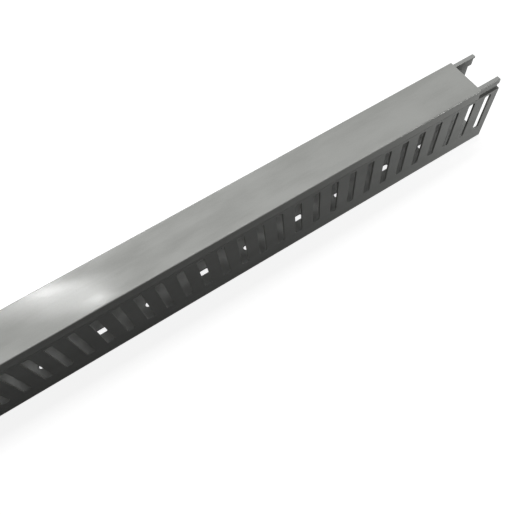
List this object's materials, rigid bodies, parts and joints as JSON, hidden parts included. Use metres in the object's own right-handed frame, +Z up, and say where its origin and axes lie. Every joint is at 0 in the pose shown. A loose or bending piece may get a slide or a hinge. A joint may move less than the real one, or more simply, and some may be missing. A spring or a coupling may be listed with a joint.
{
  "type": "slotted wire duct",
  "caption": "Rectangular slotted wire duct: a U-shaped base with punched side walls and floor, closed by a clip-on cover that is slid back to bare the end.",
  "frame": {"origin": "centre of the base's underside", "axes": "+X along the duct towards the end that the cover leaves bare, +Y across it, +Z up through the cover"},
  "size_m": [1.024, 0.04, 0.08],
  "materials": {
    "base_plastic": "satin",
    "cover_plastic": "satin"
  },
  "bodies": {
    "base": {"slotted_base": "base_plastic"},
    "cover": {"cover": "cover_plastic"}
  },
  "joints": [
    {"name": "cover_slide", "type": "slide", "parent": "base", "child": "cover", "axis": [1, 0, 0], "range_m": [-0.476, 0.524]}
  ]
}
